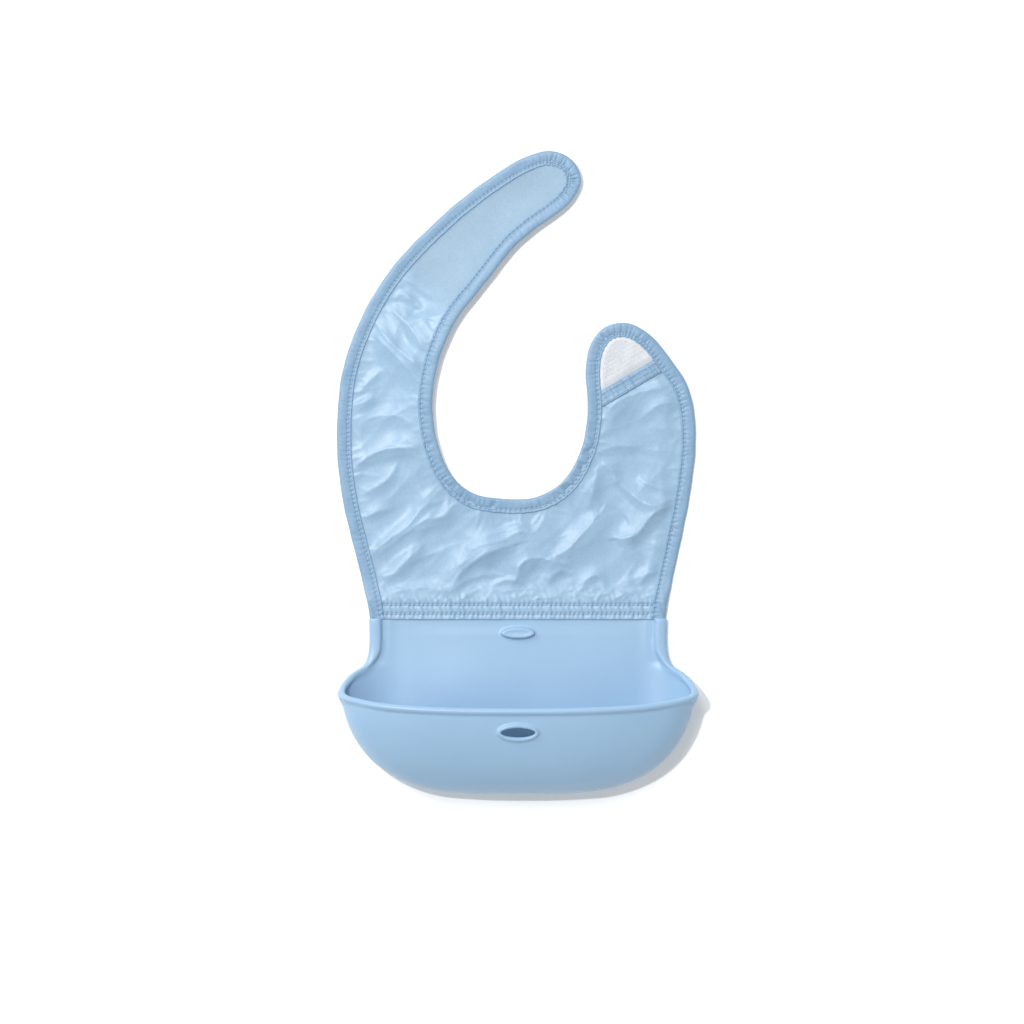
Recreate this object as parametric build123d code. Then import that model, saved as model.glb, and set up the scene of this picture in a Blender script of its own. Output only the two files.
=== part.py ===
from build123d import *
import math
import os

# A baby's bib: a coated fabric body with a long neck strap and a short tab, all edges bound with
# folded tape, sewn to a moulded silicone catcher that has a scoop pocket, a rolled rim, a slot with
# a raised collar and an oval button.  Millimetres.  The bib lies on its back on z = 0, the neck is
# towards +Y, and the origin is under the middle of the bib.

# ---------------------------------------------------------------- driving dimensions
HALF_LENGTH = 197.0          # half of the overall length, from pocket end to strap tip
HEM_Y = -89.5                # lower edge of the fabric, where the silicone starts
FOLD_Y = -79.0               # crease line just above the stitched hem, where the bib folds
BODY_GAP = 0.3               # clear gap between pieces that move apart
LAYER = 0.5                  # thickness of each fabric layer
BINDING_WIDTH = 8.8          # visible width of the folded edge tape
BINDING_WEB = 0.6            # thickness of the tape where it turns round the edge
STITCH_INSET = 6.7           # distance of the binding's stitch row from the edge
STITCH_WIDTH = 0.8           # width of a stitch row
STITCH_HEIGHT = 0.25         # how far a stitch row stands proud
FIT_GAP = 0.2                # clearance between a panel's edge and the tape around it

WALL = 2.0                   # silicone wall
POCKET_HALF_WIDTH = 107.4    # pocket's half width at its widest, without the rim
PANEL_FLAT_HALF = 76.0       # half width of the flat middle of the back panel
PANEL_EDGE = 2.3             # thickness of the back panel at its sides, under the rim
POCKET_HEIGHT = 42.0         # height of the front wall above the surface it lies on
MOUTH_BACK_Y = -107.5        # where the side walls start to rise from the back panel
MOUTH_RUN = 39.0             # from there to the front rim
TAPER_START_Y = -137.0       # where the pocket starts to narrow and its front wall to drop
END_HEIGHT = 13.0            # height of the pocket's rounded end
END_CURVE_Y = -183.0         # where the back panel starts to curve up at the end
RIM_RADIUS = 2.3             # radius of the rolled rim
SQUARENESS = 2.35            # how square the section's corners are (2 is a plain ellipse)
NARROWING = 1.75             # how early the pocket starts to narrow towards its end
BLUNTNESS = 3.5              # how blunt the pocket's end is

SLOT_Y = -158.5              # middle of the slot
SLOT_LENGTH = 21.0
SLOT_WIDTH = 6.2
COLLAR_LENGTH = 25.6
COLLAR_WIDTH = 11.0
BUTTON_Y = -98.4             # middle of the closure button
BUTTON_LENGTH = 20.4
BUTTON_WIDTH = 6.6

STRAP_PIVOT = (-45.5, 76.5)  # point on the neck edge that the strap swings about
STRAP_CUT_ANGLE = 168.0      # direction of the strap's root line, outwards from the pivot
END_CREASE_A = (-69.3, 119.8)
END_CREASE_B = (-38.6, 93.5)

# The long edge of the fabric, from the left hem corner up the left side, round the strap tip, down
# the neck edge, round the neck opening, round the tab and down the right side.
EDGE_POINTS = [
    (-89.8, -97.0), (-91.4, -86.0), (-98.7, -53.6), (-106.0, -24.2), (-110.6, 7.0), (-111.0, 29.0),
    (-107.3, 63.4), (-98.1, 90.4), (-77.9, 124.7), (-55.8, 148.7), (-33.7, 168.3), (-11.6, 184.2),
    (4.3, 193.2), (19.6, 197.0), (32.5, 191.8), (38.4, 179.3), (33.6, 167.3), (20.8, 156.3),
    (-1.2, 139.0), (-22.7, 112.5), (-36.6, 95.0), (-45.9, 76.0), (-51.0, 57.9), (-52.4, 40.0),
    (-49.2, 18.0), (-42.0, 0.6), (-29.5, -11.6), (-9.0, -16.0), (12.0, -14.6), (25.1, -7.4),
    (36.0, 8.0), (41.6, 27.0), (42.3, 46.0), (41.3, 61.0), (43.2, 75.0), (51.0, 87.6), (64.4, 91.8),
    (77.9, 86.7), (93.2, 69.9), (103.8, 53.0), (108.4, 31.9), (108.0, 7.0), (102.6, -28.0),
    (96.5, -57.0), (90.6, -86.0), (89.3, -97.0),
]
EDGE_SAMPLES = 150


CENTRE_SHIFT = (1.17, -0.247, 0.0)   # puts the middle of the finished bib over the origin


# ---------------------------------------------------------------- flat outlines
def edge_curve():
    """The fabric's long edge as one smooth curve."""
    return Spline(*[Vector(x, y, 0) for x, y in EDGE_POINTS])


def inset_points(inset):
    """Points along the long edge, moved inwards by the inset."""
    curve = edge_curve()
    points = []
    for i in range(EDGE_SAMPLES + 1):
        place = curve.position_at(i / EDGE_SAMPLES)
        along = curve.tangent_at(i / EDGE_SAMPLES)
        points.append(Vector(place.X + along.Y * inset, place.Y - along.X * inset, 0))
    return points


def panel_solid(inset, low, high):
    """The whole fabric outline, inset along the long edge, as a flat slab from low to high."""
    points = inset_points(inset)
    long_edge = Spline(*points)
    bottom = Line(points[-1], points[0])
    face = make_face([long_edge, bottom])
    slab = extrude(face, amount=high - low, dir=(0, 0, 1))
    return Pos(0, 0, low) * slab


def ring_solid(outer_inset, inner_inset, low, high):
    """A band along the long edge, between two insets."""
    inner = panel_solid(inner_inset, low - 1, high + 1)
    return panel_solid(outer_inset, low, high) - inner - hem_cutoff()


def hem_cutoff():
    """Everything below the hem line."""
    return Pos(0, HEM_Y - 50, 0) * Box(300, 100, 40)


# ---------------------------------------------------------------- regions of the moving bodies
def region(points):
    """A tall prism over a flat polygon."""
    face = make_face(Polyline(*points, close=True))
    return Pos(0, 0, -10) * extrude(face, amount=40, dir=(0, 0, 1))


def hem_region():
    top = FOLD_Y - BODY_GAP / 2
    return region([(-150, HEM_Y), (150, HEM_Y), (150, top), (-150, top)])


def strap_side(shift):
    """The side of the strap's root line that the strap is on; shift moves the line towards it."""
    turn = math.radians(STRAP_CUT_ANGLE)
    across = (-math.sin(turn), math.cos(turn))
    px = STRAP_PIVOT[0] - across[0] * shift
    py = STRAP_PIVOT[1] - across[1] * shift
    far = (px + 110 * math.cos(turn), py + 110 * math.sin(turn))
    near = (px - 6 * math.cos(turn), py - 6 * math.sin(turn))
    return region([near, (60, 110), (60, 230), (-170, 230), far])


def end_side(shift):
    """The side of the strap end's crease that the tip is on; shift moves the line towards it."""
    dx = END_CREASE_A[0] - END_CREASE_B[0]
    dy = END_CREASE_A[1] - END_CREASE_B[1]
    size = math.hypot(dx, dy)
    ux = dx / size
    uy = dy / size
    nx = -uy * -1
    ny = ux * -1
    bx = END_CREASE_B[0] + nx * shift
    by = END_CREASE_B[1] + ny * shift
    left = (bx + ux * 90, by + uy * 90)
    right = (bx - ux * 30, by - uy * 30)
    return region([right, (right[0] + 90, right[1] + 60), (60, 230), (-120, 230), left])


def strap_region():
    return strap_side(BODY_GAP / 2) - end_side(-BODY_GAP / 2)


def strap_end_region():
    return end_side(BODY_GAP / 2) & strap_side(BODY_GAP / 2)


def chest_region():
    low = FOLD_Y + BODY_GAP / 2
    whole = region([(-150, low), (150, low), (150, 230), (-150, 230)])
    return whole - strap_side(-BODY_GAP / 2)


def left_half():
    """Everything left of a line through the strap, to part the two runs of binding."""
    return region([(-60, -200), (-60, -25), (-80, 10), (-81, 50), (-74, 85), (-62, 105), (-50, 118),
                   (-50, 130), (-200, 130), (-200, -200)])


# ---------------------------------------------------------------- fabric pieces
def face_panel():
    """Front fabric layer, reaching into the fold of the binding."""
    return panel_solid(BINDING_WEB + FIT_GAP, LAYER, 2 * LAYER)


def backing_panel():
    """Back fabric layer, inside the binding."""
    return panel_solid(BINDING_WIDTH + FIT_GAP, 0, LAYER)


def binding_tape():
    """Edge tape: a channel that closes over the panel's edge on the front and the back."""
    body = ring_solid(0, BINDING_WIDTH, 0, 3 * LAYER)
    groove = ring_solid(BINDING_WEB, BINDING_WIDTH + 2, LAYER, 2 * LAYER)
    return body - groove


def binding_stitches():
    """The row of stitches that holds the tape."""
    near = STITCH_INSET - STITCH_WIDTH / 2
    far = STITCH_INSET + STITCH_WIDTH / 2
    return ring_solid(near, far, 3 * LAYER, 3 * LAYER + STITCH_HEIGHT)


def hem_layer(low, high):
    """One turned edge of the fabric over the silicone's sewing flange."""
    return panel_solid(BINDING_WIDTH + FIT_GAP, low, high) & hem_region()


def hem_stitches(y):
    """One straight row of stitches along the hem."""
    strip = Pos(0, y, 3 * LAYER + STITCH_HEIGHT / 2) * Box(240, STITCH_WIDTH, STITCH_HEIGHT)
    return strip & panel_solid(BINDING_WIDTH + 1.0, LAYER, 4)


def care_label():
    """Small blank label caught under the back hem, lying against the silicone's back."""
    return Pos(-48, HEM_Y + 5.0, LAYER / 2) * Box(16, 9, LAYER)


# ---------------------------------------------------------------- the tab's hook patch
TAPE_LEFT = (43.0, 35.1)
TAPE_RIGHT = (96.0, 66.2)
TAPE_WIDTH = 9.0


def tape_frame():
    """Plane whose x runs along the cover tape and whose origin is its lower left corner."""
    along = Vector(TAPE_RIGHT[0] - TAPE_LEFT[0], TAPE_RIGHT[1] - TAPE_LEFT[1], 0)
    return Plane(origin=(TAPE_LEFT[0], TAPE_LEFT[1], 0), x_dir=along, z_dir=(0, 0, 1))


def tape_strip(low, high, start, width):
    """A strip along the cover tape, inside the tab's binding."""
    box = Pos(35, start + width / 2, (low + high) / 2) * Box(110, width, high - low)
    strip = tape_frame().location * box
    return strip & panel_solid(BINDING_WIDTH + FIT_GAP, low - 1, high + 1) & chest_region()


def hook_patch():
    """Hook patch that fills the tab's end above the cover tape."""
    thick = 1.1
    box = Pos(35, TAPE_WIDTH - 1.5 + 30, 2 * LAYER + thick / 2) * Box(110, 60, thick)
    patch = tape_frame().location * box
    inside = panel_solid(BINDING_WIDTH + FIT_GAP, 0, 4)
    return patch & inside & chest_region() - cover_tape()


def cover_tape():
    """Folded tape over the patch's lower edge."""
    low = tape_strip(2 * LAYER, 2 * LAYER + 0.8, 0, TAPE_WIDTH)
    return low


def tape_stitches(start):
    """A row of stitches along the cover tape."""
    top = 2 * LAYER + 0.8
    return tape_strip(top, top + STITCH_HEIGHT, start, STITCH_WIDTH)


# ---------------------------------------------------------------- silicone catcher
def pocket_numbers(y, wall):
    """Half width, flat half width, bottom, widest and top heights of the pocket at y."""
    run = HALF_LENGTH + TAPER_START_Y - wall
    q = max(0.0, (TAPER_START_Y - y) / run)
    narrow = max(0.0, 1 - q ** NARROWING) ** (1 / BLUNTNESS)
    half = (POCKET_HALF_WIDTH - wall) * narrow
    flat = (PANEL_FLAT_HALF - wall) * narrow
    top = END_HEIGHT + (POCKET_HEIGHT - END_HEIGHT - wall) * math.sqrt(max(0.0, 1 - q * q))
    lift = min(1.0, max(0.0, (END_CURVE_Y - y) / (HALF_LENGTH + END_CURVE_Y - wall)))
    low = END_HEIGHT - (END_HEIGHT - wall) * math.sqrt(1 - lift * lift)
    widest = low + 0.43 * (top - low)
    return half, flat, low, widest, top


def pocket_side(y, wall, t):
    """Point (x, z) on the right half of the pocket's section; t runs 0 to 2 from floor to top."""
    half, flat, low, widest, top = pocket_numbers(y, wall)
    if t <= 1:
        a = math.radians(90 * (1 - t))
        return flat + (half - flat) * math.cos(a), widest - (widest - low) * math.sin(a)
    a = math.radians(90 * (t - 1))
    x = half * max(0.0, math.cos(a)) ** (2 / SQUARENESS)
    z = widest + (top - widest) * math.sin(a) ** (2 / SQUARENESS)
    return x, z


SIDE_STEPS = [0.25, 0.5, 0.75, 1.0, 1.2, 1.45, 1.7, 1.88]


def pocket_section(y, wall):
    """Closed section of the pocket at y: a flat floor and a curve over the top."""
    half, flat, low, widest, top = pocket_numbers(y, wall)
    right = [pocket_side(y, wall, t) for t in SIDE_STEPS]
    over = [(flat, low)] + right + [(0, top)] + [(-x, z) for x, z in reversed(right)] + [(-flat, low)]
    curve = Spline(*[Vector(x, y, z) for x, z in over])
    floor = Line((-flat, y, low), (flat, y, low))
    return make_face([floor, curve])


def pocket_volume(wall, start_y):
    """The pocket as a full solid; the wall says how far it is shrunk all round."""
    end_y = -HALF_LENGTH + wall
    run = TAPER_START_Y - end_y
    length = start_y - TAPER_START_Y
    straight = extrude(pocket_section(TAPER_START_Y, wall), amount=length, dir=(0, 1, 0))
    marks = [0.0, 0.12, 0.26, 0.42, 0.57, 0.7, 0.81, 0.895, 0.955, 0.992]
    rounded = loft([pocket_section(TAPER_START_Y - run * m, wall) for m in marks])
    return straight + rounded


def mouth_cutter():
    """Everything above the mouth's edge."""
    start = MOUTH_BACK_Y - MOUTH_RUN * math.sqrt(PANEL_EDGE / POCKET_HEIGHT)
    heights = [PANEL_EDGE, 8, 18, 32, 48, 66]
    curve_points = []
    for z in heights:
        curve_points.append((0, MOUTH_BACK_Y - MOUTH_RUN * math.sqrt(z / POCKET_HEIGHT), z))
    curve = Spline(*[Vector(*p) for p in curve_points])
    first = Line((0, -60, PANEL_EDGE), (0, start, PANEL_EDGE))
    last = Line(curve_points[-1], (0, -60, heights[-1]))
    close = Line((0, -60, heights[-1]), (0, -60, PANEL_EDGE))
    face = make_face([first, curve, last, close])
    return Pos(-150, 0, 0) * extrude(face, amount=300, dir=(1, 0, 0))


def rim_point(t):
    """Middle of the rim where the pocket's wall meets the mouth's edge; t as in pocket_side."""
    y = MOUTH_BACK_Y
    for _ in range(12):
        x, z = pocket_side(y, WALL / 2, t)
        y = MOUTH_BACK_Y - MOUTH_RUN * math.sqrt(max(0.0, z) / POCKET_HEIGHT)
    return x, y, z


def rim_path():
    """Line of the rim, from the left hem corner round the mouth to the right hem corner."""
    low = RIM_RADIUS + 0.3
    side = [(88.9, HEM_Y + 2, low), (88.8, -100.0, low), (89.3, -109.0, low)]
    steps = [0.4, 0.55, 0.7, 0.85, 1.0, 1.15, 1.3, 1.45, 1.6, 1.75, 1.88]
    right = side + [rim_point(t) for t in steps]
    top = rim_point(2.0)
    left = [(-x, y, z) for x, y, z in right]
    return Spline(*[Vector(*p) for p in left + [top] + right[::-1]])


def rim_bead():
    """Rolled edge all round the mouth."""
    path = rim_path()
    start = Plane(origin=path @ 0, z_dir=path % 0)
    return sweep(start * Circle(RIM_RADIUS), path=path)


def oval(length, width, height):
    """Upright block with an oval outline."""
    return extrude(Ellipse(length / 2, width / 2), amount=height, dir=(0, 0, 1))


def slot_place():
    """The slot's position on the front wall, tilted with the wall."""
    high = pocket_numbers(SLOT_Y - 3, 0)[4]
    higher = pocket_numbers(SLOT_Y + 3, 0)[4]
    tilt = math.degrees(math.atan2(higher - high, 6.0))
    return Pos(0, SLOT_Y, (high + higher) / 2) * Rot(X=tilt)


def slot_collar():
    """Raised lip round the slot."""
    lip = oval(COLLAR_LENGTH, COLLAR_WIDTH, 3.0)
    lip = fillet(lip.edges().group_by(Axis.Z)[-1], 0.9)
    return slot_place() * Pos(0, 0, -1.5) * lip


def slot_hole():
    return slot_place() * Pos(0, 0, -12) * oval(SLOT_LENGTH, SLOT_WIDTH, 24)


def closure_button():
    """Oval button on the back panel, with a narrower foot under its edge and a shallow plain dish."""
    foot = Pos(0, BUTTON_Y, WALL - 0.5) * oval(BUTTON_LENGTH - 3, BUTTON_WIDTH - 2.4, 1.6)
    head = oval(BUTTON_LENGTH, BUTTON_WIDTH, 1.5)
    head = fillet(head.edges().group_by(Axis.Z)[-1], 0.6)
    head = Pos(0, BUTTON_Y, WALL + 0.9) * head
    dish = Pos(0, BUTTON_Y, WALL + 2.1) * oval(BUTTON_LENGTH - 5, BUTTON_WIDTH - 3, 2)
    return foot + head - dish


def sewing_flange():
    """Thin tongue of silicone inside the hem."""
    tongue = panel_solid(BINDING_WEB + FIT_GAP, LAYER, 2 * LAYER)
    band = region([(-150, HEM_Y - 2), (150, HEM_Y - 2), (150, FOLD_Y - 1), (-150, FOLD_Y - 1)])
    keep = region([(-84, HEM_Y - 3), (84, HEM_Y - 3), (84, HEM_Y), (-84, HEM_Y)])
    above = region([(-150, HEM_Y), (150, HEM_Y), (150, FOLD_Y), (-150, FOLD_Y)])
    return tongue & band & (keep + above)


def silicone_catcher():
    """The whole moulding."""
    shell = pocket_volume(0, HEM_Y) - pocket_volume(WALL, HEM_Y + 12) - mouth_cutter()
    beyond = Pos(0, HEM_Y + 25, 0) * Box(300, 50, 60)
    shell = shell + (rim_bead() - beyond)
    shell = shell + (slot_collar() - pocket_volume(WALL, HEM_Y + 12))
    shell = shell - slot_hole() + closure_button() + sewing_flange()
    return shell


# ---------------------------------------------------------------- assembly
def build_parts():
    face = face_panel()
    backing = backing_panel()
    tape = binding_tape()
    rows = binding_stitches()
    hem = hem_region()
    chest = chest_region()
    strap = strap_region()
    tip = strap_end_region()
    left = left_half()
    chest_tape = tape & chest
    chest_rows = rows & chest
    strap_tape = tape & strap
    strap_rows = rows & strap
    patch = hook_patch()
    label = care_label()
    left_side = region([(-150, -120), (0, -120), (0, 0), (-150, 0)])
    parts = {
        "silicone_catcher": silicone_catcher(),
        "hem_front": hem_layer(2 * LAYER, 3 * LAYER),
        "hem_back": hem_layer(0, LAYER) - label,
        "hem_binding_left": (tape & hem) & left_side,
        "hem_binding_right": (tape & hem) - left_side,
        "hem_thread_upper": hem_stitches(-81.2),
        "hem_thread_lower": hem_stitches(-86.7),
        "care_label": label,
        "chest_face": face & chest,
        "chest_backing": backing & chest,
        "chest_binding_left": chest_tape & left,
        "chest_binding_neck": chest_tape - left,
        "chest_thread_left": chest_rows & left,
        "chest_thread_neck": chest_rows - left,
        "hook_patch": patch,
        "hook_cover_tape": cover_tape(),
        "hook_tape_thread_upper": tape_stitches(TAPE_WIDTH - 2.6),
        "hook_tape_thread_lower": tape_stitches(1.8),
        "strap_face": face & strap,
        "strap_backing": backing & strap,
        "strap_binding_outer": strap_tape & left,
        "strap_binding_neck": strap_tape - left,
        "strap_thread_outer": strap_rows & left,
        "strap_thread_neck": strap_rows - left,
        "strap_end_face": face & tip,
        "loop_patch": backing & tip,
        "strap_end_binding": tape & tip,
        "strap_end_thread": rows & tip,
    }
    return parts


os.makedirs("parts", exist_ok=True)
whole = []
for name, shape in build_parts().items():
    solids = shape.solids()
    print(name, len(solids), round(sum(s.volume for s in solids), 1))
    if len(solids) == 1:
        shape = solids[0]
    shape = Pos(*CENTRE_SHIFT) * shape
    shape.label = name
    whole.append(shape)
    export_step(shape, os.path.join("parts", name + ".step"))
box = Compound(children=whole).bounding_box()
print("overall", box.min, box.max)
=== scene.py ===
import math

import bmesh
import bpy
import numpy as np
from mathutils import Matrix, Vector
from mathutils.geometry import delaunay_2d_cdt
from mathutils.kdtree import KDTree


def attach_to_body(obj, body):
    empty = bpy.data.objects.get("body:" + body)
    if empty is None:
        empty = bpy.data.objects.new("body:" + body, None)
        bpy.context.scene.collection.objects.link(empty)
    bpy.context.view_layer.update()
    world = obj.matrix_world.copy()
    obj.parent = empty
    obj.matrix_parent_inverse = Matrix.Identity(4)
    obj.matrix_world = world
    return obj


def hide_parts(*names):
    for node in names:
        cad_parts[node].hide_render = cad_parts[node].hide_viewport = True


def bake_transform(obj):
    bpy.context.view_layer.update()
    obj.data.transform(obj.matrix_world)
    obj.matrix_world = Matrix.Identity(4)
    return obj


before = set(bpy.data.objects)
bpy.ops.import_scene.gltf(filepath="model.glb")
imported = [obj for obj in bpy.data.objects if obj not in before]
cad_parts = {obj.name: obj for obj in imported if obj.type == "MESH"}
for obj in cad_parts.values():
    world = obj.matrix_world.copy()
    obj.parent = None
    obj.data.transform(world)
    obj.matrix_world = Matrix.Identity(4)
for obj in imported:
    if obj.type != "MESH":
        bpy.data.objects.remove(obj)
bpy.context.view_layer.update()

RNG = np.random.default_rng(7)
MM = 0.001
SHIFT = np.array([1.17, -0.247, 0.0])     # from the drawing's origin to the middle of the bib, mm

# ------------------------------------------------------------------ sizes, in mm
HEM_Y = -89.5
BINDING = 8.8            # visible width of the edge tape
STITCH_INSET = 6.7       # from the edge to the row of stitches
PITCH = 2.8              # one stitch and its gap
HEM_ROWS = (-81.2, -86.7)  # the two rows of stitches along the hem
HEM_HALF = 84            # they run this far to either side
FABRIC_LOW = 1.2         # top of the fabric where it lies flat
HEM_TOP = 2.9            # top of the fabric where it laps over the silicone
LINING_DROP = 0.75       # from the front fabric down to the lining
PIVOT = np.array([-45.5, 76.5])             # where the neck strap swings
CREASE_A = np.array([-69.3, 119.8])         # the line where the strap's end lifts off,
CREASE_B = np.array([-38.6, 93.5])          # from the outer edge to the neck

EDGE_POINTS = np.array([
    (-89.8, -97.0), (-91.4, -86.0), (-98.7, -53.6), (-106.0, -24.2), (-110.6, 7.0), (-111.0, 29.0),
    (-107.3, 63.4), (-98.1, 90.4), (-77.9, 124.7), (-55.8, 148.7), (-33.7, 168.3), (-11.6, 184.2),
    (4.3, 193.2), (19.6, 197.0), (32.5, 191.8), (38.4, 179.3), (33.6, 167.3), (20.8, 156.3),
    (-1.2, 139.0), (-22.7, 112.5), (-36.6, 95.0), (-45.9, 76.0), (-51.0, 57.9), (-52.4, 40.0),
    (-49.2, 18.0), (-42.0, 0.6), (-29.5, -11.6), (-9.0, -16.0), (12.0, -14.6), (25.1, -7.4),
    (36.0, 8.0), (41.6, 27.0), (42.3, 46.0), (41.3, 61.0), (43.2, 75.0), (51.0, 87.6), (64.4, 91.8),
    (77.9, 86.7), (93.2, 69.9), (103.8, 53.0), (108.4, 31.9), (108.0, 7.0), (102.6, -28.0),
    (96.5, -57.0), (90.6, -86.0), (89.3, -97.0),
])


# ------------------------------------------------------------------ curves
def unit(v):
    v = np.array(v, float)
    return v / np.linalg.norm(v)


def cubic_through(points, step):
    """Evenly spaced points on the natural cubic curve through the given points, and their tangents."""
    p = np.array(points, float)
    t = np.concatenate([[0], np.cumsum(np.linalg.norm(np.diff(p, axis=0), axis=1))])
    h = np.diff(t)
    n = len(t)
    a = np.zeros((n, n))
    r = np.zeros((n, p.shape[1]))
    a[0, 0] = a[-1, -1] = 1
    for i in range(1, n - 1):
        a[i, i - 1], a[i, i], a[i, i + 1] = h[i - 1], 2 * (h[i - 1] + h[i]), h[i]
        r[i] = 6 * ((p[i + 1] - p[i]) / h[i] - (p[i] - p[i - 1]) / h[i - 1])
    m = np.linalg.solve(a, r)

    def at(s):
        k = np.clip(np.searchsorted(t, s, side="right") - 1, 0, n - 2)
        x, hh = (s - t[k])[:, None], h[k][:, None]
        b = (p[k + 1] - p[k]) / hh - hh * (2 * m[k] + m[k + 1]) / 6
        return p[k] + x * (b + x * (m[k] / 2 + x * (m[k + 1] - m[k]) / (6 * hh)))

    fine = at(np.linspace(0, t[-1], int(t[-1] / step * 4)))
    along = np.concatenate([[0], np.cumsum(np.linalg.norm(np.diff(fine, axis=0), axis=1))])
    u = np.linspace(0, along[-1], int(along[-1] / step) + 1)
    out = np.stack([np.interp(u, along, fine[:, k]) for k in range(p.shape[1])], axis=1)
    tan = np.gradient(out, u, axis=0)
    tan /= np.linalg.norm(tan, axis=1, keepdims=True)
    return u, out, tan


EDGE_STEP = 0.35         # between samples of the edge
NEAR_STEP = 2            # every second sample is enough to find the nearest one
FIELD_STEP = 4           # and every fourth for what spreads softly from the edge
CHUNK = 2000             # points handled at a time, to save memory
EDGE_U, EDGE_P, EDGE_T = cubic_through(EDGE_POINTS, EDGE_STEP)
EDGE_N = np.stack([EDGE_T[:, 1], -EDGE_T[:, 0]], axis=1)      # points into the fabric
CURVATURE = np.abs(np.gradient(np.unwrap(np.arctan2(EDGE_T[:, 1], EDGE_T[:, 0])), EDGE_U))


def nearest_on_edge(xy):
    """For each point: the index of the nearest edge sample and the signed distance inwards."""
    xy = np.asarray(xy, float)
    index = np.empty(len(xy), int)
    for i in range(0, len(xy), CHUNK):
        part = xy[i:i + CHUNK]
        d = ((part[:, None, :] - EDGE_P[None, ::NEAR_STEP, :]) ** 2).sum(-1)
        index[i:i + CHUNK] = NEAR_STEP * d.argmin(1)
    inset = ((xy - EDGE_P[index]) * EDGE_N[index]).sum(1)
    return index, inset


def edge_index(x, y):
    return int(((EDGE_P - np.array([x, y])) ** 2).sum(1).argmin())


def smooth(a, b, x):
    t = np.clip((np.asarray(x, float) - a) / (b - a), 0, 1)
    return t * t * (3 - 2 * t)


def waves_1d(x, lengths, seed):
    """A smooth uneven line: sines of several lengths with fixed random phases."""
    rng = np.random.default_rng(seed)
    out = np.zeros_like(np.asarray(x, float))
    for length in lengths:
        out += np.sin(2 * np.pi * np.asarray(x) / (length * rng.uniform(0.85, 1.15)) + rng.uniform(0, 6.3))
    return out / math.sqrt(len(lengths))


def waves_2d(xy, count, low, high, seed, ridged=False):
    """An uneven surface: waves of random lengths and directions, slightly bent."""
    rng = np.random.default_rng(seed)
    out = np.zeros(len(xy))
    for _ in range(count):
        a, length = rng.uniform(0, np.pi), rng.uniform(low, high)
        bend = rng.uniform(-0.004, 0.004)
        along = xy[:, 0] * math.cos(a) + xy[:, 1] * math.sin(a)
        across = -xy[:, 0] * math.sin(a) + xy[:, 1] * math.cos(a)
        w = np.sin(2 * np.pi * (along + bend * across ** 2) / length + rng.uniform(0, 6.3))
        out += (1 - 2 * np.abs(w)) if ridged else w
    return out / math.sqrt(count)


# ------------------------------------------------------------------ the lie of the fabric
# How far the edge stands up from the table, at places along it.
EDGE_LIFT = [((-90, -90), 0.0), ((-106, -24), 0.3), ((-111, 29), 0.5), ((-98, 90), 1.0), ((-56, 149), 1.5),
             ((4, 193), 2.6), ((38, 179), 4.2), ((21, 156), 6.2), ((-23, 112), 7.2), ((-46, 76), 7.6),
             ((-52, 40), 6.2), ((-42, 1), 3.4), ((-9, -16), 1.6), ((25, -7), 1.4), ((42, 30), 1.8),
             ((43, 75), 2.4), ((64, 92), 2.0), ((93, 70), 1.2), ((108, 32), 0.8), ((103, -28), 0.5),
             ((91, -86), 0.0)]
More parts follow.
